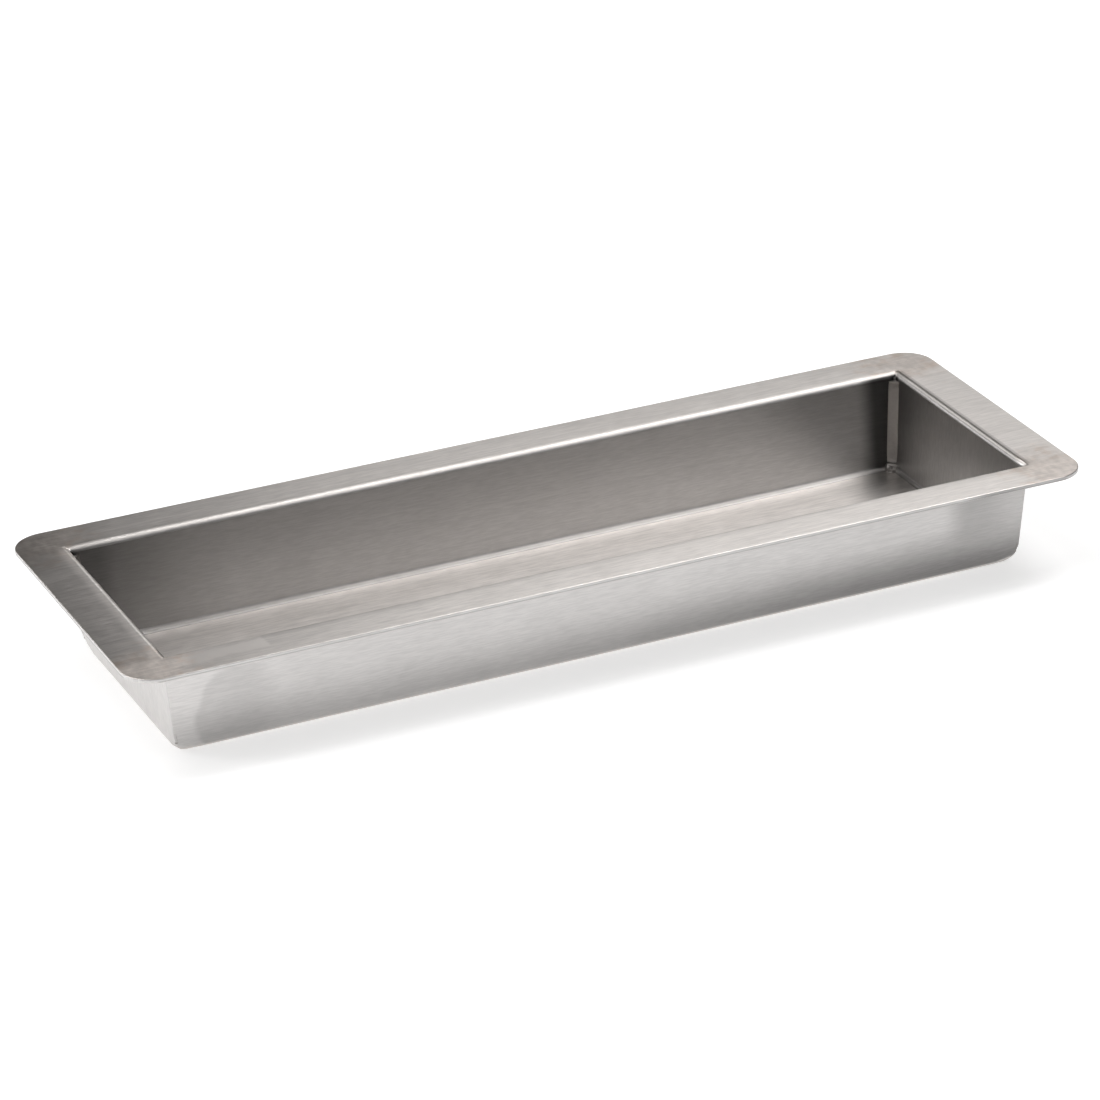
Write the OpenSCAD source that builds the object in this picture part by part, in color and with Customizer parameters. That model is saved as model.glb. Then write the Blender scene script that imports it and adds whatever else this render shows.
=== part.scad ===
/* [Pan] */
// Overall length, over the rim
length = 300; // [200:5:420]
// Overall width, over the rim
width = 110; // [80:5:200]
// Overall height, from the underside of the floor to the top of the rim
height = 32.5; // [20:0.5:60]
// Lean of every wall, outwards from upright, in degrees
wall_lean = 4.5; // [1:0.5:10]

/* [Sheet] */
// Thickness of the sheet
sheet = 1.2; // [0.8:0.1:2]
// Inside radius of the bend between the floor and each wall
floor_bend_r = 2; // [1.5:0.25:4]
// Inside radius of the bend between each wall and the rim
rim_bend_r = 0.9; // [0.5:0.1:2]

/* [Rim] */
// Flat width of the rim at each end
end_rim = 12.9; // [8:0.1:24]
// Flat width of the rim along each side
side_rim = 12.3; // [8:0.1:24]
// Radius of the rim's outer corners
rim_corner_r = 10; // [4:0.5:16]

/* [Welds] */
// Gap between two folded edges, which a weld fills
weld_gap = 1; // [0.4:0.1:2]
// Leg of the fillet bead inside each upright corner
bead_leg = 2.4; // [1.6:0.1:4]
// Radius of the relief hole at each corner of the floor
relief_r = 1.2; // [1:0.1:2]
// Radius of the weld pool left on the floor in each corner
pool_r = 4; // [3.5:0.1:6]

/* [Hidden] */
$fn = 96;

// The four corners: name, side of the length, side of the width
CORNERS = [
  ["front_left", -1, -1],
  ["front_right", 1, -1],
  ["back_left", -1, 1],
  ["back_right", 1, 1]
];

steel = "silver";
weld_steel = "lightslategray";

// Heights of the two bends' centres
floor_bend_z = floor_bend_r + sheet;
rim_bend_z = height - rim_bend_r - sheet;

// How far the rim bend's centre is outside the floor bend's
across_wall = floor_bend_r + sheet + rim_bend_r;
wall_run = across_wall / cos(wall_lean) + (rim_bend_z - floor_bend_z) * tan(wall_lean);
// Flat steps that each bend is made of
bend_steps = 12;

// From the pan's centre to the edges of the flat floor
floor_half_length = length / 2 - end_rim - wall_run;
floor_half_width = width / 2 - side_rim - wall_run;

// The floor welds end, and the upright welds begin, just above the floor bend
floor_weld_top = floor_bend_z + 0.4;
// The upright welds end, and the rim welds begin, just under the rim bend
corner_weld_top = rim_bend_z - 0.4;
// The slope of the line in which two leaning walls meet
corner_lean = atan(sqrt(2) * tan(wall_lean));

// Width of flat floor that is made with each wall, so that the two run into each other
floor_lap = 2;
// How far cutting shapes run past what they cut
over = 1;
// Far enough to reach across the pan, and past everything near one corner
pan_span = length + width;
corner_span = 2 * (height + max(end_rim, side_rim));

// A direction in the wall's section, where x points outwards and y up
function direction(angle) = [cos(angle), sin(angle)];

// Points round part of a circle, both ends among them
function arc(centre, r, start, stop) =
  [for (step = [0:bend_steps]) centre + r * direction(start + (stop - start) * step / bend_steps)];

// Section through the edge of the floor, the floor bend, the wall, the rim bend and the rim.
// x = 0 is where the flat floor ends and its bend begins
module wall_section(rim) {
  floor_centre = [0, floor_bend_z];
  rim_centre = [wall_run, rim_bend_z];
  rim_edge = wall_run + rim + over;
  under = concat(
    arc(floor_centre, floor_bend_r + sheet, -90, -wall_lean),
    arc(rim_centre, rim_bend_r, 180 - wall_lean, 90),
    [[rim_edge, height - sheet]]
  );
  upper = concat(
    [[rim_edge, height]],
    arc(rim_centre, rim_bend_r + sheet, 90, 180 - wall_lean),
    arc(floor_centre, floor_bend_r, -wall_lean, -90)
  );
  polygon(concat([[-floor_lap, 0]], under, upper, [[-floor_lap, sheet]]));
}

// A wall that runs along X
module straight_wall(run, rim) {
  translate([-run / 2, 0, 0])
    rotate([90, 0, 90])
      linear_extrude(run)
        wall_section(rim);
}

// One wall of the pan, on the side of +Y, with both ends cut to the mitre
module mitred_wall(half_run, half_out, rim) {
  far = corner_span;
  intersection() {
    translate([0, half_out, 0])
      straight_wall(pan_span, rim);
    translate([0, 0, -over])
      linear_extrude(height + 2 * over)
        polygon([
          [-half_run + floor_lap, half_out - floor_lap],
          [half_run - floor_lap, half_out - floor_lap],
          [half_run + far, half_out + far],
          [-half_run - far, half_out + far]
        ]);
  }
}

module rim_outline() {
  x = length / 2 - rim_corner_r;
  y = width / 2 - rim_corner_r;
  square([length, 2 * y], center = true);
  square([2 * x, width], center = true);
  for (side = [-x, x], end = [-y, y])
    translate([side, end])
      circle(r = rim_corner_r);
}

// Everything inside the rim's outline
module outline_cut() {
  translate([0, 0, -over])
    linear_extrude(height + 2 * over)
      rim_outline();
}

// Floor, walls and rim with the mitres closed
module closed_tray() {
  floor_x = floor_half_length - floor_lap / 2;
  floor_y = floor_half_width - floor_lap / 2;
  intersection() {
    union() {
      translate([-floor_x, -floor_y, 0])
        cube([2 * floor_x, 2 * floor_y, sheet]);
      for (turn = [0, 180])
        rotate([0, 0, turn])
          mitred_wall(floor_half_length, floor_half_width, side_rim);
      for (turn = [90, 270])
        rotate([0, 0, turn])
          mitred_wall(floor_half_width, floor_half_length, end_rim);
    }
    outline_cut();
  }
}

// From here to at_corner, shapes are in the frame of the back right corner: its origin is under
// the point where the centre lines of the two floor bends cross

// The wall along X, cut to the mitre
module half_corner(rim) {
  far = corner_span;
  intersection() {
    straight_wall(2 * far, rim);
    translate([0, 0, -over])
      linear_extrude(height + 2 * over)
        polygon([[-far, -far], [far, far], [-far, far]]);
  }
}

// The two walls and their rims with the mitre closed
module closed_corner() {
  intersection() {
    union() {
      half_corner(side_rim);
      mirror([1, -1, 0])
        half_corner(end_rim);
    }
    translate([-floor_half_length, -floor_half_width, 0])
      outline_cut();
  }
}

// The gap in the mitre, with the relief hole at its root
module mitre_gap() {
  translate([0, 0, -over]) {
    cylinder(r = relief_r, h = over + sheet + floor_bend_r / 2);
    rotate([0, 0, 45])
      translate([0, -weld_gap / 2, 0])
        cube([2 * corner_span, weld_gap, height + 2 * over]);
  }
}

// Everything between two heights
module layer(low, high) {
  translate([-corner_span, -corner_span, low])
    cube([2 * corner_span, 2 * corner_span, high - low]);
}

// What fills the mitre gap between two heights, flush with the sheet
module gap_fill(low, high) {
  intersection() {
    closed_corner();
    mitre_gap();
    layer(low, high);
  }
}

// Everything on the pan's side of the straight inside face of the wall along X
module inside_of_wall() {
  foot = [0, floor_bend_z] + floor_bend_r * direction(-wall_lean);
  down = foot - floor_bend_z / cos(wall_lean) * direction(90 - wall_lean);
  up = foot + height / cos(wall_lean) * direction(90 - wall_lean);
  translate([-corner_span, 0, 0])
    rotate([90, 0, 90])
      linear_extrude(2 * corner_span)
        polygon([down, up, [-corner_span, up.y], [-corner_span, down.y]]);
}

module inside_of_corner() {
  intersection() {
    inside_of_wall();
    mirror([1, -1, 0])
      inside_of_wall();
  }
}

// Flat-faced fillet bead up the inside of the corner
module fillet_bead() {
  far = corner_span;
  inside_corner = floor_bend_r / cos(wall_lean);
  intersection() {
    inside_of_corner();
    translate([inside_corner, inside_corner, floor_bend_z])
      rotate([0, 0, 45])
        rotate([0, corner_lean, 0])
          translate([-bead_leg / sqrt(2), -far, -far])
            cube(2 * far);
    layer(floor_weld_top, corner_weld_top);
  }
}

// Rounded pool of weld where the floor meets two walls, above the bends
module weld_pool() {
  difference() {
    intersection() {
      inside_of_corner();
      translate([floor_bend_r, floor_bend_r, sheet])
        sphere(r = pool_r);
      layer(sheet, floor_weld_top);
    }
    closed_corner();
  }
}

// Carries what is in the corner's frame to one of the four corners
module at_corner(corner) {
  mirror([corner[1] < 0 ? 1 : 0, 0, 0])
    mirror([0, corner[2] < 0 ? 1 : 0, 0])
      translate([floor_half_length, floor_half_width, 0])
        children();
}

// Blank folded up: floor, four leaning walls and a flat rim all round
module pan_sheet() {
  color(steel)
    difference() {
      closed_tray();
      for (corner = CORNERS)
        at_corner(corner)
          mitre_gap();
    }
}

module floor_weld(corner) {
  color(weld_steel)
    at_corner(corner)
      union() {
        gap_fill(-over, floor_weld_top);
        weld_pool();
      }
}

module corner_weld(corner) {
  color(weld_steel)
    at_corner(corner)
      union() {
        gap_fill(floor_weld_top, corner_weld_top);
        fillet_bead();
      }
}

module rim_weld(corner) {
  color(weld_steel)
    at_corner(corner)
      gap_fill(corner_weld_top, height + over);
}

pan_sheet();
for (corner = CORNERS) {
  floor_weld(corner);
  corner_weld(corner);
  rim_weld(corner);
}
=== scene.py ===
import math

import bmesh
import bpy
from mathutils import Matrix, Vector, noise


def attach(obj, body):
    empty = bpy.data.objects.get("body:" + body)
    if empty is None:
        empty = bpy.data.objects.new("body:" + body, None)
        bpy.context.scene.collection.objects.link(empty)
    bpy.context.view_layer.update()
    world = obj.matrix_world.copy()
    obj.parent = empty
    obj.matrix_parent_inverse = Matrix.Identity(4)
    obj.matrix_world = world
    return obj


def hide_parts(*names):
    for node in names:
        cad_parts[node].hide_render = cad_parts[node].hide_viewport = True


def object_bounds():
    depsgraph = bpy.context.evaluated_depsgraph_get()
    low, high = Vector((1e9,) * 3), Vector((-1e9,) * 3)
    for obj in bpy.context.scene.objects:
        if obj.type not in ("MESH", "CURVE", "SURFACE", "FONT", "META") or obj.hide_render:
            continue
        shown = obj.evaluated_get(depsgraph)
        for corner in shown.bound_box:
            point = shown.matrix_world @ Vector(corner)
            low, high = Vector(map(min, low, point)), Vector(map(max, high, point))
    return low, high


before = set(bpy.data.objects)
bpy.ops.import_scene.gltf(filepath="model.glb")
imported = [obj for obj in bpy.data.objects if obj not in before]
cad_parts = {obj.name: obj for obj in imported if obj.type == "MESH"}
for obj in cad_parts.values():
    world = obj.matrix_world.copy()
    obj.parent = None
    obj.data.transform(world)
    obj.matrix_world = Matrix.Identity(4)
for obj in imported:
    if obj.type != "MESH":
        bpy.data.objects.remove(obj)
CAD_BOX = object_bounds()
HIGH = Vector(CAD_BOX[1])

MM = 0.001

# The sheet, as the part was designed
HALF_LENGTH, HALF_WIDTH, HEIGHT = HIGH.x, HIGH.y, HIGH.z
SHEET = 1.2 * MM
END_RIM = 12.9 * MM
SIDE_RIM = 12.3 * MM
RIM_CORNER = 10 * MM
BEND_X, BEND_Y = HALF_LENGTH - END_RIM, HALF_WIDTH - SIDE_RIM
CORNERS = {"front_left": (-1, -1), "front_right": (1, -1), "back_left": (-1, 1), "back_right": (1, 1)}

# The photographer's camera
VIEW_AZIMUTH = math.radians(-22.91)
VIEW_ELEVATION = math.radians(24.45)
VIEW_ROLL = math.radians(-2.53)
VIEW_DISTANCE = 1.4628
VIEW_LENS_MM = 163.15
AIM_DROP = 13.28 * MM
AIM_LEFT = 0.23 * MM

# The ground shines a little, so that it stays white under a soft light
FLOOR_COLOUR = (0.64, 0.64, 0.64, 1)
FLOOR_GLOW = 0.58
FLOOR_REACH = 4.0

# Places on the pan: the feet of the walls, the centres of the rim's corners, the weld's pinhole and the
# inside corners' throats where shade is painted, the centre of painted shade on the rim and the middle of the
# dull patch on the front wall
FOOT_X, FOOT_Y = 132.8 * MM, 38.4 * MM
OUTER_FOOT_X, OUTER_FOOT_Y = 134.0 * MM, 39.6 * MM
CORNER_X, CORNER_Y = 141.5 * MM, 47 * MM
PINHOLE = Vector((-134.9, 40.5, 30.4)) * MM
THROAT = Vector((134.6, 40.3, 30.2)) * MM
SHADED_RIM_CORNER_X, SHADED_RIM_CORNER_Y = -147 * MM, 52 * MM
PATCH_X, PATCH_Z, PATCH_RADIUS = -113 * MM, 10 * MM, 15 * MM

# Shape of the edges and welds
RIM_EDGE = 0.28 * MM
LOWER_EDGE = 0.12 * MM
CORNER_EDGE = 0.3 * MM
BEAD_PITCH = 1.3 * MM
SHARP_ANGLE = math.radians(35)

# How far the made pan strays from the ideal one, in millimetres
RIM_DROOP, RIM_DROOP_WAVE, LEFT_DROOP = 0.10, 0.16, 0.10
SHOULDER_DROP = 0.24
FLOOR_LIFT = 0.10
WALL_BOW, WALL_SET, WALL_RIPPLE = 0.14, 0.05, 0.05
CORNER_BLUNT = 0.75

# Steel
STEEL_COLOUR, STEEL_ROUGHNESS = (0.62, 0.594, 0.574), 0.37
BEAD_COLOUR, BEAD_ROUGHNESS = (0.37, 0.347, 0.33), 0.44
TINT_COLOUR = (0.55, 0.46, 0.40, 1)
BRUSHING = 0.7
BRIGHTEST = 1.55

# Ranges over which one face of the pan gives way to the next: a height, a direction, or a place times its
# normal, which is below 0 inside the pan and above 0 outside
LEVEL = (0.7, 0.95)
UPRIGHT = (0.15, 0.3)
RIM_TOP = (HEIGHT - 2 * MM, HEIGHT - 0.9 * MM)
NEAR_RIM = (28 * MM, 30 * MM)
WALL_HEIGHT = (4 * MM, 28 * MM)
INSIDE_LONG_WALL = (-36 * MM, -30 * MM)
INSIDE_END_WALL = (-120 * MM, -110 * MM)
OUTSIDE_LONG_WALL = (30 * MM, 36 * MM)
OUTSIDE_END_WALL = (110 * MM, 125 * MM)
MIDDLE = (-1 * MM, 1 * MM)


# ---------------------------------------------------------------- camera, floor and light

def view_axes():
    """Right, up and backward directions of the camera."""
    a, e = VIEW_AZIMUTH, VIEW_ELEVATION
    back = Vector((math.sin(a) * math.cos(e), -math.cos(a) * math.cos(e), math.sin(e)))
    right = Vector((math.cos(a), math.sin(a), 0))
    up = back.cross(right)
    c, s = math.cos(VIEW_ROLL), math.sin(VIEW_ROLL)
    return c * right + s * up, c * up - s * right, back


def add_camera():
    data = bpy.data.cameras.new("camera")
    data.lens = VIEW_LENS_MM
    data.sensor_width = 36
    data.clip_end = 20
    camera = bpy.data.objects.new("camera", data)
    bpy.context.scene.collection.objects.link(camera)
    right, up, back = view_axes()
    aim = Vector((0, 0, HEIGHT)) - AIM_DROP * up - AIM_LEFT * right
    rotation = Matrix((right, up, back)).transposed()
    camera.matrix_world = Matrix.Translation(aim + VIEW_DISTANCE * back) @ rotation.to_4x4()
    bpy.context.scene.camera = camera


def add_floor():
    mesh = bpy.data.meshes.new("floor")
    r = FLOOR_REACH
    mesh.from_pydata([(-r, -r, 0), (r, -r, 0), (r, r, 0), (-r, r, 0)], [], [(0, 1, 2, 3)])
    floor = bpy.data.objects.new("floor", mesh)
    bpy.context.scene.collection.objects.link(floor)
    material = bpy.data.materials.new("floor_paint")
    material.use_nodes = True
    shader = material.node_tree.nodes["Principled BSDF"]
    shader.inputs["Base Color"].default_value = FLOOR_COLOUR
    shader.inputs["Roughness"].default_value = 1
    shader.inputs["Specular IOR Level"].default_value = 0
    shader.inputs["Emission Color"].default_value = (1, 1, 1, 1)
    shader.inputs["Emission Strength"].default_value = FLOOR_GLOW
    mesh.materials.append(material)


def add_softbox(name, place, size, watts):
    """A rectangular light at a place, in metres, turned to the middle of the pan."""
    data = bpy.data.lights.new(name, "AREA")
    data.shape = "RECTANGLE"
    data.size, data.size_y = size
    data.energy = watts
    light = bpy.data.objects.new(name, data)
    bpy.context.scene.collection.objects.link(light)
    light.location = place
    light.rotation_euler = (-Vector(place)).to_track_quat("-Z", "Y").to_euler()


def add_lights():
    """A faint even light, and softboxes round the pan and over it."""
    world = bpy.data.worlds.new("studio")
    bpy.context.scene.world = world
    world.use_nodes = True
    background = world.node_tree.nodes["Background"]
    background.inputs["Color"].default_value = (1, 1, 1, 1)
    background.inputs["Strength"].default_value = 0.01
    add_softbox("overhead_left", (-0.45, 0, 1.3), (0.7, 1.0), 4.4)
    add_softbox("overhead_left_back", (-0.5, 0.7, 1.2), (0.6, 0.6), 4.2)
    add_softbox("overhead_right", (0.8, 0, 1.2), (0.5, 0.6), 1.8)
    add_softbox("overhead_strip", (0.5, 0, 1.2), (0.2, 0.6), 3.8)
    add_softbox("far_left", (-1.1, 0, 1.0), (0.6, 0.8), 2.9)
    add_softbox("far_left_back", (-1.35, 0.8, 0.6), (0.5, 0.5), 7.0)
    add_softbox("high_left_back", (-0.8, 1.0, 1.0), (0.6, 0.5), 0.9)
    add_softbox("front_right", (0.6, -0.7, 1.1), (0.55, 0.6), 3.0)
    add_softbox("back_right", (0.6, 0.7, 1.1), (0.5, 0.6), 1.6)
    add_softbox("far_back_right", (1.1, 1.2, 0.65), (0.4, 0.6), 1.3)
    add_softbox("back", (0.65, 1.43, 0.7), (0.5, 0.6), 0.6)


# ---------------------------------------------------------------- shapes

def ease(value, low, high):
    """0 below low, 1 above high and smooth between them."""
    t = max(0.0, min(1.0, (value - low) / (high - low)))
    return t * t * (3 - 2 * t)


def rim_depth(p):
    """How far a point is inside the outline of the rim."""
    x, y = abs(p.x) - (HALF_LENGTH - RIM_CORNER), abs(p.y) - (HALF_WIDTH - RIM_CORNER)
    if x > 0 and y > 0:
        return RIM_CORNER - math.hypot(x, y)
    return min(HALF_LENGTH - abs(p.x), HALF_WIDTH - abs(p.y))


def settled(p):
    """Where a point of the ideal pan lies on the made one, whose sheet is a little bowed, dished and wavy."""
    across_end = ease(abs(p.x), BEND_X, HALF_LENGTH)
    across_side = ease(abs(p.y), BEND_Y, HALF_WIDTH)
    outward = max(across_end, across_side)
    wave = 0.5 + 0.5 * noise.noise(Vector((p.x * 14, p.y * 14, 3.7)))
    droop = RIM_DROOP + RIM_DROOP_WAVE * wave
    if p.x < 0:
        droop += LEFT_DROOP * across_end * ease(p.y, -BEND_Y, BEND_Y)
    shoulder = SHOULDER_DROP * ease(p.z, 20 * MM, 30 * MM)
    past_end = ease(abs(p.x), BEND_X, BEND_X + 6 * MM)
    past_side = ease(abs(p.y), BEND_Y, BEND_Y + 6 * MM)
    shoulder *= 1 - max(past_end, past_side)
    sink = -droop * outward - shoulder
    height = ease(p.z, 0, HEIGHT)
    near_end = ease(abs(p.x), BEND_X - 4 * MM, BEND_X)
    near_side = ease(abs(p.y), BEND_Y - 4 * MM, BEND_Y)
    inside = 1 - max(near_end, near_side)
    lift = FLOOR_LIFT * inside * (1 - height) * (1 + noise.noise(Vector((p.x * 16, p.y * 22, 0.4))))
    bow = WALL_BOW * height * math.cos(math.pi * p.x / (2 * HALF_LENGTH))
    ripple = WALL_RIPPLE * height * noise.noise(Vector((p.x * 22, p.y * 22, p.z * 30)))
    side = -math.copysign(1, p.y) * ease(abs(p.y), 0.6 * BEND_Y, BEND_Y) * (bow + WALL_SET + ripple)
    end = -math.copysign(1, p.x) * ease(abs(p.x), 0.9 * BEND_X, BEND_X) * (WALL_SET + ripple)
    tip = Vector((abs(p.x) - OUTER_FOOT_X, abs(p.y) - OUTER_FOOT_Y, p.z - 0.8 * MM)).length
    blunt = CORNER_BLUNT * (1 - ease(tip, 0.5 * MM, 5.5 * MM))
    corner = Vector((-math.copysign(1, p.x), -math.copysign(1, p.y), 0.5)) * blunt
    return p + (Vector((end, side, sink + lift)) + corner) * MM


def opened(node):
    """The mesh of a CAD node, with flat faces joined up."""
    mesh = bmesh.new()
    mesh.from_mesh(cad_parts[node].data)
    bmesh.ops.remove_doubles(mesh, verts=mesh.verts, dist=0.0005 * MM)
    bmesh.ops.dissolve_limit(mesh, angle_limit=math.radians(0.5), verts=mesh.verts, edges=mesh.edges)
    return mesh


def deburred(mesh):
    """Rounds the outer edge of the rim, more on top than below."""
    for height, size, steps in ((HEIGHT, RIM_EDGE, 3), (HEIGHT - SHEET, LOWER_EDGE, 1)):
        edges = [e for e in mesh.edges
                 if all(rim_depth(v.co) < 0.01 * MM and abs(v.co.z - height) < 0.01 * MM for v in e.verts)]
        if edges:
            bmesh.ops.bevel(mesh, geom=edges, offset=size, segments=steps, profile=0.5, affect="EDGES")


def sliced(mesh, steps):
    """Cuts the mesh by planes across X, Y and Z, a step apart in each, so that it can be bent."""
    for axis, step in enumerate(steps):
        heights = [v.co[axis] for v in mesh.verts]
        normal = [0, 0, 0]
        normal[axis] = 1
        for n in range(math.ceil(min(heights) / step), math.floor(max(heights) / step) + 1):
            place = [0, 0, 0]
            place[axis] = (n + 0.137) * step
            geometry = mesh.verts[:] + mesh.edges[:] + mesh.faces[:]
            bmesh.ops.bisect_plane(mesh, geom=geometry, dist=0.0002 * MM, plane_co=place, plane_no=normal)


def made_piece(mesh, name, node, material, outer=None):
    """Settles the mesh and shows it for the CAD node; outer is the material of faces that look outward."""
    mesh.normal_update()
    if outer:
        for face in mesh.faces:
            centre = face.calc_center_median()
            out_and_down = Vector((centre.x, centre.y, -20 * MM)).normalized()
            face.material_index = int(face.normal.dot(out_and_down) > 0)
    for v in mesh.verts:
        v.co = settled(v.co)
    data = bpy.data.meshes.new(name)
    mesh.to_mesh(data)
    mesh.free()
    data.materials.append(material)
    if outer:
        data.materials.append(outer)
    data.shade_smooth()
    data.set_sharp_from_angle(angle=SHARP_ANGLE)
    piece = bpy.data.objects.new(name, data)
    bpy.context.scene.collection.objects.link(piece)
    flat_first = piece.modifiers.new("flat_faces_first", "WEIGHTED_NORMAL")
    flat_first.keep_sharp = True
    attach(piece, "root")
    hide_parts(node)


def add_sheet(material):
    mesh = opened("pan_sheet")
    deburred(mesh)
    sliced(mesh, (6 * MM, 6 * MM, 6 * MM))
    made_piece(mesh, "steel_sheet", "pan_sheet", material)


def add_rim_seam(corner, material):
    """The weld across one corner of the rim, ground flush with it."""
    mesh = opened("rim_weld_" + corner)
    deburred(mesh)
    sliced(mesh, (1 * MM, 1 * MM, 1 * MM))
    made_piece(mesh, "rim_seam_" + corner, "rim_weld_" + corner, material)


def add_corner_seam(corner, material, outer):
    """The weld up one corner: ground to a soft edge outside, a low rippled bead inside."""
    mesh = opened("corner_weld_" + corner)
    sx, sy = CORNERS[corner]

    def outside(v):
        return min(abs(v.co.x) - OUTER_FOOT_X, abs(v.co.y) - OUTER_FOOT_Y) > -0.02 * MM

    upright = [e for e in mesh.edges if abs(e.verts[0].co.z - e.verts[1].co.z) > 5 * MM]
    tips = [e for e in upright if all(outside(v) for v in e.verts)]
    if tips:
        bmesh.ops.bevel(mesh, geom=tips, offset=CORNER_EDGE, segments=3, profile=0.5, affect="EDGES")
    sliced(mesh, (0.5 * MM, 0.5 * MM, 0.4 * MM))
    mesh.normal_update()
    inward = Vector((-sx, -sy, 0)).normalized()
    top = max(v.co.z for v in mesh.verts)
    for v in mesh.verts:
        facing = ease(v.normal.dot(inward), 0.8, 0.97)
        side = abs(abs(v.co.x) - BEND_X - abs(v.co.y) + BEND_Y)
        ripple = math.sin(2 * math.pi * (v.co.z + 0.4 * side) / BEAD_PITCH)
        lump = noise.noise(v.co * 420)
        fade = ease(v.co.z, top - 2.5 * MM, top)
        v.co += inward * facing * ((0.03 * ripple + 0.09 * lump) * (1 - fade) - 0.12 * fade) * MM
    made_piece(mesh, "corner_seam_" + corner, "corner_weld_" + corner, material, outer)


def add_floor_seam(corner, material, outer):
    """The weld round one corner of the floor: a small lumpy pool inside."""
    mesh = opened("floor_weld_" + corner)
    sx, sy = CORNERS[corner]
    sliced(mesh, (0.35 * MM, 0.35 * MM, 0.35 * MM))
    mesh.normal_update()
    inward = Vector((-sx, -sy, 1.2)).normalized()
    for v in mesh.verts:
        facing = ease(v.normal.dot(inward), 0.35, 0.6)
        lump = noise.noise(v.co * 520 + Vector((sx, sy, 0))) + 0.6 * noise.noise(v.co * 1400)
        above = ease(v.co.z, 0.7 * MM, SHEET)
        v.co += inward * facing * (0.42 * lump - 0.5) * above * MM
    made_piece(mesh, "floor_seam_" + corner, "floor_weld_" + corner, material, outer)


# ---------------------------------------------------------------- materials

class Nodes:
    """Short ways to add and link the nodes of one material."""

    def __init__(self, name):
        self.material = bpy.data.materials.new(name)
        self.material.use_nodes = True
        self.tree = self.material.node_tree
        self.shader = self.tree.nodes["Principled BSDF"]

    def add(self, kind, **inputs):
        node = self.tree.nodes.new(kind)
        for key, value in inputs.items():
            self.feed(node.inputs[key.replace("_", " ")], value)
        return node

    def feed(self, socket, value):
        if isinstance(value, bpy.types.NodeSocket):
            self.tree.links.new(value, socket)
        else:
            socket.default_value = value

    def maths(self, operation, *values, clamp=False):
        node = self.tree.nodes.new("ShaderNodeMath")
        node.operation = operation
        node.use_clamp = clamp
        for socket, value in zip(node.inputs, values):
            self.feed(socket, value)
        return node.outputs[0]

    def product(self, first, *others):
        for value in others:
            first = self.maths("MULTIPLY", first, value)
        return first

    def total(self, first, *others):
        for value in others:
            first = self.maths("ADD", first, value)
        return first

    def combined(self, x, y, z=0.0):
        return self.add("ShaderNodeCombineXYZ", X=x, Y=y, Z=z).outputs[0]

    def vector(self, operation, *values):
        node = self.tree.nodes.new("ShaderNodeVectorMath")
        node.operation = operation
        for socket, value in zip(node.inputs, values):
            self.feed(socket, value)
        scalar = operation in ("LENGTH", "DOT_PRODUCT", "DISTANCE")
        return node.outputs["Value" if scalar else "Vector"]

    def scaled(self, colour, factor):
        node = self.tree.nodes.new("ShaderNodeVectorMath")
        node.operation = "SCALE"
        self.feed(node.inputs[0], colour)
        self.feed(node.inputs["Scale"], factor)
        return node.outputs["Vector"]

    def place(self):
        return self.add("ShaderNodeTexCoord").outputs["Object"]

    def normal(self):
        return self.add("ShaderNodeNewGeometry").outputs["Normal"]

    def split(self, vector):
        node = self.add("ShaderNodeSeparateXYZ", Vector=vector)
        return node.outputs["X"], node.outputs["Y"], node.outputs["Z"]

    def ramp(self, value, low, high, to_low=0.0, to_high=1.0):
        node = self.tree.nodes.new("ShaderNodeMapRange")
        node.interpolation_type = "SMOOTHSTEP"
        for key, number in zip(("Value", "From Min", "From Max", "To Min", "To Max"),
                               (value, low, high, to_low, to_high)):
            self.feed(node.inputs[key], number)
        return node.outputs["Result"]

    def blend(self, factor, a, b):
        node = self.tree.nodes.new("ShaderNodeMix")
        node.data_type = "FLOAT"
        for key, value in zip(("Factor", "A", "B"), (factor, a, b)):
            self.feed(next(s for s in node.inputs if s.name == key and s.type == "VALUE"), value)
        return next(s for s in node.outputs if s.type == "VALUE")

    def blend_colour(self, factor, a, b):
        node = self.tree.nodes.new("ShaderNodeMix")
        node.data_type = "RGBA"
        self.feed(next(s for s in node.inputs if s.name == "Factor" and s.type == "VALUE"), factor)
        for key, value in zip(("A", "B"), (a, b)):
            self.feed(next(s for s in node.inputs if s.name == key and s.type == "RGBA"), value)
        return next(s for s in node.outputs if s.type == "RGBA")

    def noise(self, place, scale, detail=2.0, roughness=0.5):
        """Noise from 0 to 1, with one scale or one for each axis, in cycles per metre."""
        if isinstance(scale, tuple):
            place = self.vector("MULTIPLY", place, scale)
            scale = 1.0
        node = self.add("ShaderNodeTexNoise", Vector=place, Scale=scale, Detail=detail, Roughness=roughness)
        return node.outputs["Fac"]


def near_rim_corner(n, x, y):
    """Distance of a point from the nearest rounded corner of the rim, in metres."""
    far_x = n.maths("SUBTRACT", n.maths("ABSOLUTE", x), CORNER_X)
    far_y = n.maths("SUBTRACT", n.maths("ABSOLUTE", y), CORNER_Y)
    return n.vector("LENGTH", n.combined(far_x, far_y))


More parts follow.
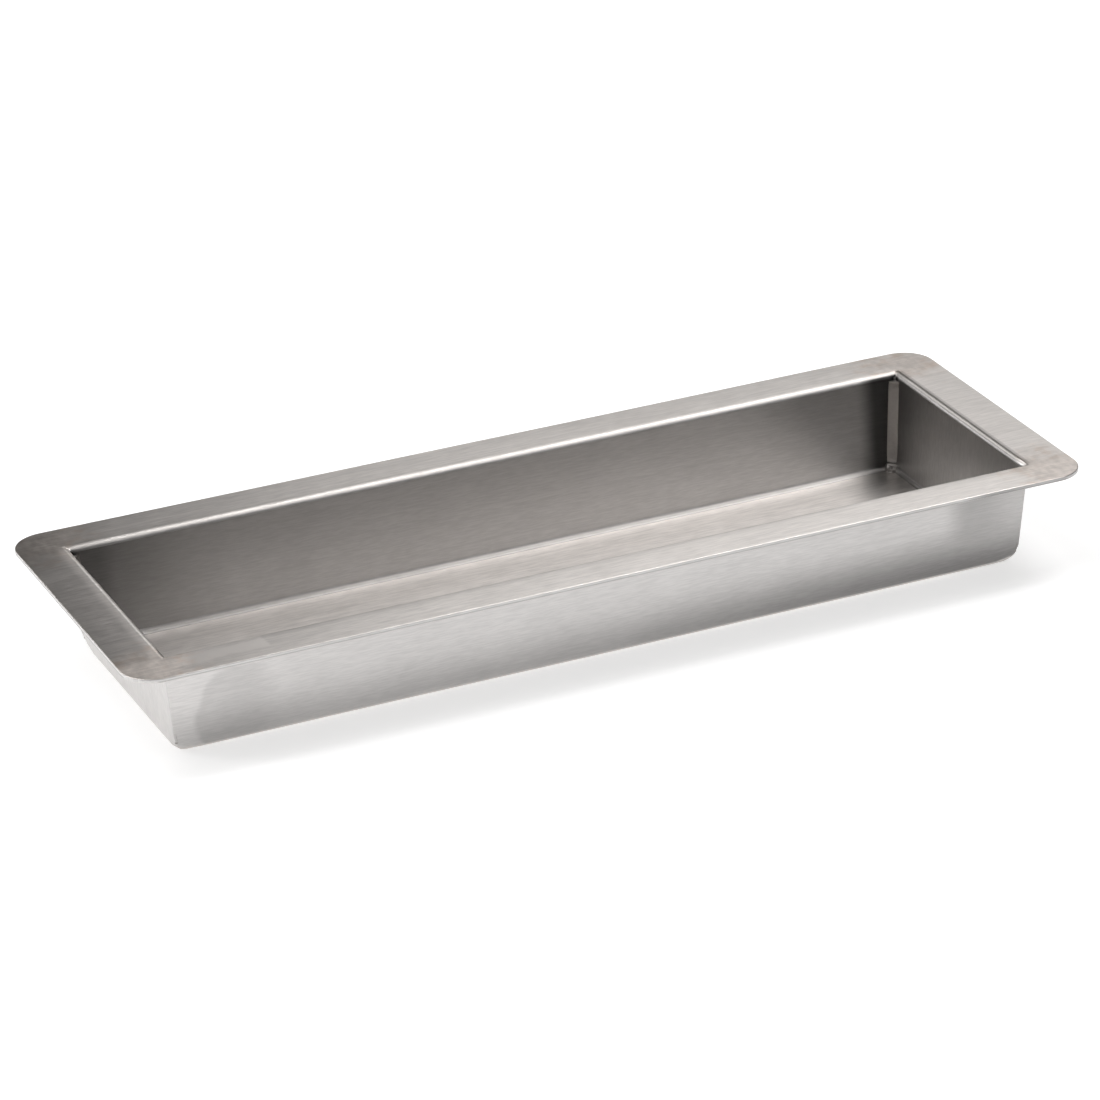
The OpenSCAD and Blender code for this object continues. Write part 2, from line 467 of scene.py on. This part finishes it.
def brushed_steel(name, colour, roughness):
    """Sheet steel brushed along its length, dressed by hand round the welds and tinted by their heat."""
    n = Nodes(name)
    place, normal = n.place(), n.normal()
    x, y, z = n.split(place)
    nx, ny, nz = n.split(n.vector("ABSOLUTE", normal))
    outward_x, outward_y, _ = n.split(n.vector("MULTIPLY", place, normal))
    cloud = n.noise(place, 90, detail=3)
    drift = n.product(n.maths("SUBTRACT", cloud, 0.5), 24 * MM)
    level = n.ramp(nz, *LEVEL)

    # Where the rim was dressed after welding
    corner = n.total(near_rim_corner(n, x, y), drift)
    on_rim = n.product(level, n.ramp(z, *RIM_TOP))
    dressed = n.product(n.ramp(corner, 5 * MM, 18 * MM, 1, 0), on_rim)

    # Brushed along X, up the end walls, and a little askew on the dressed corners
    direction = n.combined(1.0, n.product(dressed, 0.14))
    across = n.vector("NORMALIZE", n.vector("CROSS_PRODUCT", normal, direction))
    on_end_wall = n.ramp(nx, 0.5, 0.85)
    fine_along, fine_up = n.noise(place, (240, 2600, 2600)), n.noise(place, (2600, 2600, 300))
    broad_along, broad_up = n.noise(place, (24, 900, 900)), n.noise(place, (900, 900, 40))
    fine = n.blend(on_end_wall, fine_along, fine_up)
    broad = n.blend(on_end_wall, broad_along, broad_up)
    grain = n.total(n.product(fine, 0.72), n.product(broad, 0.28))
    streaks = n.product(n.ramp(n.noise(place, (80, 900, 900), detail=3), 0.3, 0.7, -0.05, 0.05), level)
    hand = n.noise(place, (500, 260, 500), detail=4)

    # Brightness of the steel: its grain, cloud and dressing, times tones of which most are painted light and
    # shade
    light = n.product(
        n.total(n.ramp(grain, 0.3, 0.7, 0.93, 1.09), streaks),
        n.ramp(cloud, 0.3, 0.7, 0.98, 1.02),
        n.blend(dressed, 1, n.ramp(hand, 0.3, 0.7, 0.84, 1.0)),
        edge_tone(n, x, y, z, nz),
        heat_dulling_and_painted_reflection(n, x, y, outward_x, outward_y),
        front_patch_and_painted_shade(n, x, y, z, outward_y, drift),
        sanded_strip_tone(n, x, y, z, drift),
        floor_and_end_painted_light(n, x, z, level, outward_x),
        inner_wall_painted_shade(n, x, z, outward_x, outward_y, nz),
        rim_painted_light(n, x, y, on_rim),
        bend_painted_shade(n, x, y, z, nz, outward_x, outward_y),
        weld_end_shade_and_highlight(n, place, x, y, z))
    light = n.maths("MINIMUM", light, BRIGHTEST)

    tinted = n.blend_colour(heat_tint(n, place, corner, on_rim), list(colour) + [1], TINT_COLOUR)
    # Painted tint of the light: level faces a touch warmer, upright faces a touch cooler
    painted_warmth = n.ramp(nz, 0.3, 0.8, -0.018, 0.01)
    hue = n.combined(n.total(1, painted_warmth), 1.0, n.maths("SUBTRACT", 1, painted_warmth))
    n.feed(n.shader.inputs["Base Color"], n.scaled(n.vector("MULTIPLY", tinted, hue), light))
    n.shader.inputs["Metallic"].default_value = 1
    n.shader.inputs["Anisotropic"].default_value = BRUSHING
    n.feed(n.shader.inputs["Tangent"], across)
    rough = n.ramp(grain, 0.25, 0.75, roughness - 0.03, roughness + 0.03)
    n.feed(n.shader.inputs["Roughness"], n.total(rough, n.product(dressed, 0.04)))
    bump = n.add("ShaderNodeBump", Height=fine, Strength=0.10, Distance=0.012 * MM)
    n.feed(n.shader.inputs["Normal"], bump.outputs["Normal"])
    return n.material


def heat_dulling_and_painted_reflection(n, x, y, outward_x, outward_y):
    """Grey beside the welds of the inside corners, fading along each wall: partly heat dulling, partly
    painted shade standing in for the darker walls these faces reflect, strongest at the right end.
    """
    long_way = n.maths("SUBTRACT", FOOT_X, n.maths("ABSOLUTE", x))
    on_long = n.product(
        n.ramp(outward_y, *INSIDE_LONG_WALL, 1, 0),
        n.ramp(long_way, 5 * MM, 12 * MM, 1, 0),
        n.ramp(x, -100 * MM, 100 * MM, 0.3, 1))
    end_way = n.maths("SUBTRACT", FOOT_Y, n.maths("ABSOLUTE", y))
    on_end = n.product(n.ramp(outward_x, *INSIDE_END_WALL, 1, 0), n.ramp(end_way, 2 * MM, 30 * MM, 1, 0))
    return n.maths("SUBTRACT", 1, n.total(n.product(on_long, 0.78), n.product(on_end, 0.35)))


def heat_tint(n, place, corner, on_rim):
    """Patchy brown tint in a band round the welds of the rim."""
    band = n.product(n.ramp(corner, 4 * MM, 10 * MM), n.ramp(corner, 11 * MM, 22 * MM, 1, 0))
    patches = n.ramp(n.noise(place, (190, 260, 190), detail=4), 0.45, 0.68)
    body = n.ramp(corner, 4 * MM, 18 * MM, 0.3, 0)
    tint = n.total(body, n.product(band, patches, 0.55))
    return n.maths("MULTIPLY", tint, on_rim, clamp=True)


def edge_tone(n, x, y, z, nz):
    """The lower half of the rim's sheared outer edge is darker."""
    standing = n.ramp(nz, 0.3, 0.6, 1, 0)
    out_x = n.ramp(n.maths("ABSOLUTE", x), HALF_LENGTH - 0.5 * MM, HALF_LENGTH - 0.2 * MM)
    out_y = n.ramp(n.maths("ABSOLUTE", y), HALF_WIDTH - 0.5 * MM, HALF_WIDTH - 0.2 * MM)
    low = n.ramp(z, HEIGHT - 1.1 * MM, HEIGHT - 0.7 * MM, 1, 0)
    return n.ramp(n.product(standing, n.maths("MAXIMUM", out_x, out_y), low), 0, 1, 1, 0.72)


def front_patch_and_painted_shade(n, x, y, z, outward_y, drift):
    """Outside on the front wall: a dull round patch in a brighter dressed area at the left, and painted shade
    that darkens the foot and the right end, standing in for the shadowed ground the wall reflects."""
    on_wall = n.product(n.ramp(outward_y, *OUTSIDE_LONG_WALL), n.ramp(y, *MIDDLE, 1, 0))
    away = n.combined(n.maths("SUBTRACT", x, PATCH_X), 0.0, n.maths("SUBTRACT", z, PATCH_Z))
    distance = n.total(n.vector("LENGTH", away), n.product(drift, 0.25))
    patch = n.ramp(distance, PATCH_RADIUS - 1.0 * MM, PATCH_RADIUS + 0.8 * MM, 1, 0)
    dimmer = n.product(patch, n.ramp(x, PATCH_X, PATCH_X + 14 * MM, 1, 0), -0.12)
    left = n.ramp(x, PATCH_X - 2 * MM, PATCH_X + 10 * MM, 1, 0)
    around = n.product(n.maths("SUBTRACT", 1, patch), left, 0.06)
    # Painted shade: the wall darker toward its foot, most at the right, lighter higher up, and darker at its
    # right end and upper right
    painted_foot_shade = n.product(n.ramp(z, 2 * MM, 22 * MM, 1, 0), n.ramp(x, -60 * MM, 130 * MM, 0.1, 1), -0.42)
    painted_height_shade = n.ramp(z, 0, 17 * MM, -0.18, 0.09)
    painted_right_end_shade = n.product(
        n.ramp(z, 8 * MM, 18 * MM),
        n.ramp(x, 107 * MM, 117 * MM),
        n.ramp(x, 119 * MM, 134 * MM, -0.32, -0.16))
    painted_upper_right_shade = n.product(n.ramp(z, 14 * MM, 26 * MM), n.ramp(x, 0, 120 * MM, 0, -0.1))
    tone = n.total(around, dimmer, painted_foot_shade, painted_height_shade, painted_right_end_shade, painted_upper_right_shade)
    return n.total(1, n.product(tone, on_wall))


def sanded_strip_tone(n, x, y, z, drift):
    """A lighter strip, sanded along the inner half of the front rim near its left end."""
    strip = n.product(
        n.ramp(n.total(y, n.product(drift, 0.1)), -50.2 * MM, -48.8 * MM),
        n.ramp(y, -42 * MM, -41 * MM, 1, 0),
        n.ramp(n.total(x, n.product(drift, 0.12)), -108.2 * MM, -106.8 * MM, 1, 0),
        n.ramp(x, -138 * MM, -128 * MM),
        n.ramp(z, HEIGHT - 1.2 * MM, HEIGHT - 0.8 * MM))
    return n.total(1, n.product(strip, 0.22))


# The tones below stand in for the soft light that reaches each face, as much as for the steel's finish

def floor_and_end_painted_light(n, x, z, level, outward_x):
    """Painted light and shade: the floor inside is brighter, but for its right end which is darker, and the
    outside of the left end is brighter than the rest.
    """
    floor = n.product(level, n.ramp(z, 6 * MM, 12 * MM, 1, 0), n.ramp(x, 104 * MM, 131 * MM, 0.30, -0.34))
    left_end = n.product(n.ramp(outward_x, *OUTSIDE_END_WALL), n.ramp(x, *MIDDLE, 1, 0), 0.1)
    return n.total(1, floor, left_end)


def inner_wall_painted_shade(n, x, z, outward_x, outward_y, nz):
    """Painted shade inside: the walls are darker toward the rim, and the long ones toward their left end."""
    upright = n.ramp(nz, *UPRIGHT, 1, 0)
    on_long = n.product(n.ramp(outward_y, *INSIDE_LONG_WALL, 1, 0), upright)
    on_end = n.product(n.ramp(outward_x, *INSIDE_END_WALL, 1, 0), upright)
    long_wall_painted_shade = n.product(n.ramp(z, *WALL_HEIGHT, 0.94, 0.79), n.ramp(x, -135 * MM, -80 * MM, 0.5, 1))
    end_wall_painted_shade = n.ramp(z, *WALL_HEIGHT, 1.08, 0.70)
    return n.product(n.blend(on_long, 1, long_wall_painted_shade), n.blend(on_end, 1, end_wall_painted_shade))


def rim_painted_light(n, x, y, on_rim):
    """Painted light on the rim: the front rim is brightest, the left one along its inner edge, and painted
    shade darkens the back left corner.
    """
    front = n.product(n.ramp(y, -46 * MM, -40 * MM, 1, 0), n.ramp(x, -140 * MM, 60 * MM, 0.36, 0.15))
    back = n.product(n.ramp(y, 40 * MM, 46 * MM), n.ramp(x, -60 * MM, 60 * MM, 0.16, -0.06))
    away = n.combined(n.maths("SUBTRACT", x, SHADED_RIM_CORNER_X), n.maths("SUBTRACT", y, SHADED_RIM_CORNER_Y))
    # Painted shade round the back left corner of the rim
    dimmer = n.ramp(n.vector("LENGTH", away), 3 * MM, 30 * MM, -0.55, 0)
    left = n.product(
        n.ramp(x, -140.5 * MM, -137.2 * MM, 0, 0.35),
        n.ramp(x, -137 * MM, -136 * MM, 1, 0),
        n.ramp(n.maths("ABSOLUTE", y), BEND_Y - 4 * MM, BEND_Y + 1 * MM, 1, 0))
    return n.total(1, n.product(n.total(front, back, dimmer, left), on_rim))


def bend_painted_shade(n, x, y, z, nz, outward_x, outward_y):
    """Painted shade on bends, dimming their highlights: the inside ones of the floor, the top of the right
    end's and the back's.
    """
    inside_long = n.ramp(outward_y, -8 * MM, -1 * MM, 1, 0)
    inside_end = n.ramp(outward_x, -24 * MM, -4 * MM, 1, 0)
    floor_bend = n.product(
        n.ramp(nz, 0.5, 0.75),
        n.ramp(nz, 0.96, 0.999, 1, 0),
        n.maths("MAXIMUM", inside_long, inside_end),
        n.ramp(z, 4 * MM, 6 * MM, 1, 0))
    right_bend = n.product(
        n.ramp(x, BEND_X - 1.5 * MM, BEND_X - 0.9 * MM),
        n.ramp(x, BEND_X, BEND_X + 0.6 * MM, 1, 0),
        n.ramp(nz, 0.75, 0.95),
        n.ramp(z, *NEAR_RIM),
        n.ramp(n.maths("ABSOLUTE", y), BEND_Y - 3 * MM, BEND_Y - 0.5 * MM, 1, 0))
    back_bend = n.product(
        n.ramp(nz, 0.35, 0.6),
        n.ramp(nz, 0.97, 0.995, 1, 0),
        n.ramp(z, *NEAR_RIM),
        n.ramp(y, 30 * MM, 38 * MM))
    return n.product(
        n.blend(floor_bend, 1, 0.41),
        n.blend(right_bend, 1, 0.7),
        n.blend(back_bend, 1, n.ramp(x, -130 * MM, 60 * MM, 1, 0.78)))


def weld_end_shade_and_highlight(n, place, x, y, z):
    """Painted shade in the throats at the top of the inside corners, and in the back left one a pinhole
    painted dark as its shade, with a painted highlight round it.
    """
    away = n.vector("DISTANCE", place, tuple(PINHOLE))
    uneven = n.total(away, n.product(n.noise(place, 1800), 0.5 * MM))
    painted_pinhole_shade = n.ramp(uneven, 0.7 * MM, 1.0 * MM, 0.06, 1)
    painted_hole_rim_highlight = n.ramp(uneven, 1.3 * MM, 2.2 * MM, 1.35, 1)
    folded = n.combined(n.maths("ABSOLUTE", x), n.maths("ABSOLUTE", y), z)
    painted_throat_shade = n.ramp(n.vector("DISTANCE", folded, tuple(THROAT)), 0.6 * MM, 2.2 * MM, 0.4, 1)
    return n.product(painted_pinhole_shade, painted_hole_rim_highlight, painted_throat_shade)


def weld_steel(name, colour, roughness):
    """Weld metal left as it cooled: darker, patchy and pitted."""
    n = Nodes(name)
    place = n.place()
    patches = n.noise(place, 900, detail=4)
    darker = [c * 0.7 for c in colour] + [1]
    n.feed(n.shader.inputs["Base Color"], n.blend_colour(patches, darker, list(colour) + [1]))
    n.shader.inputs["Metallic"].default_value = 1
    n.feed(n.shader.inputs["Roughness"], n.ramp(patches, 0.2, 0.8, roughness - 0.08, roughness + 0.08))
    bump = n.add("ShaderNodeBump", Height=n.noise(place, 2500, detail=3), Strength=0.3, Distance=0.03 * MM)
    n.feed(n.shader.inputs["Normal"], bump.outputs["Normal"])
    return n.material


bpy.context.scene.view_settings.view_transform = "Standard"
add_camera()
add_floor()
sheet_steel = brushed_steel("sheet_steel", STEEL_COLOUR, STEEL_ROUGHNESS)
bead_steel = weld_steel("bead_steel", BEAD_COLOUR, BEAD_ROUGHNESS)
add_sheet(sheet_steel)
for corner in CORNERS:
    add_rim_seam(corner, sheet_steel)
    add_corner_seam(corner, bead_steel, sheet_steel)
    add_floor_seam(corner, bead_steel, sheet_steel)
add_lights()
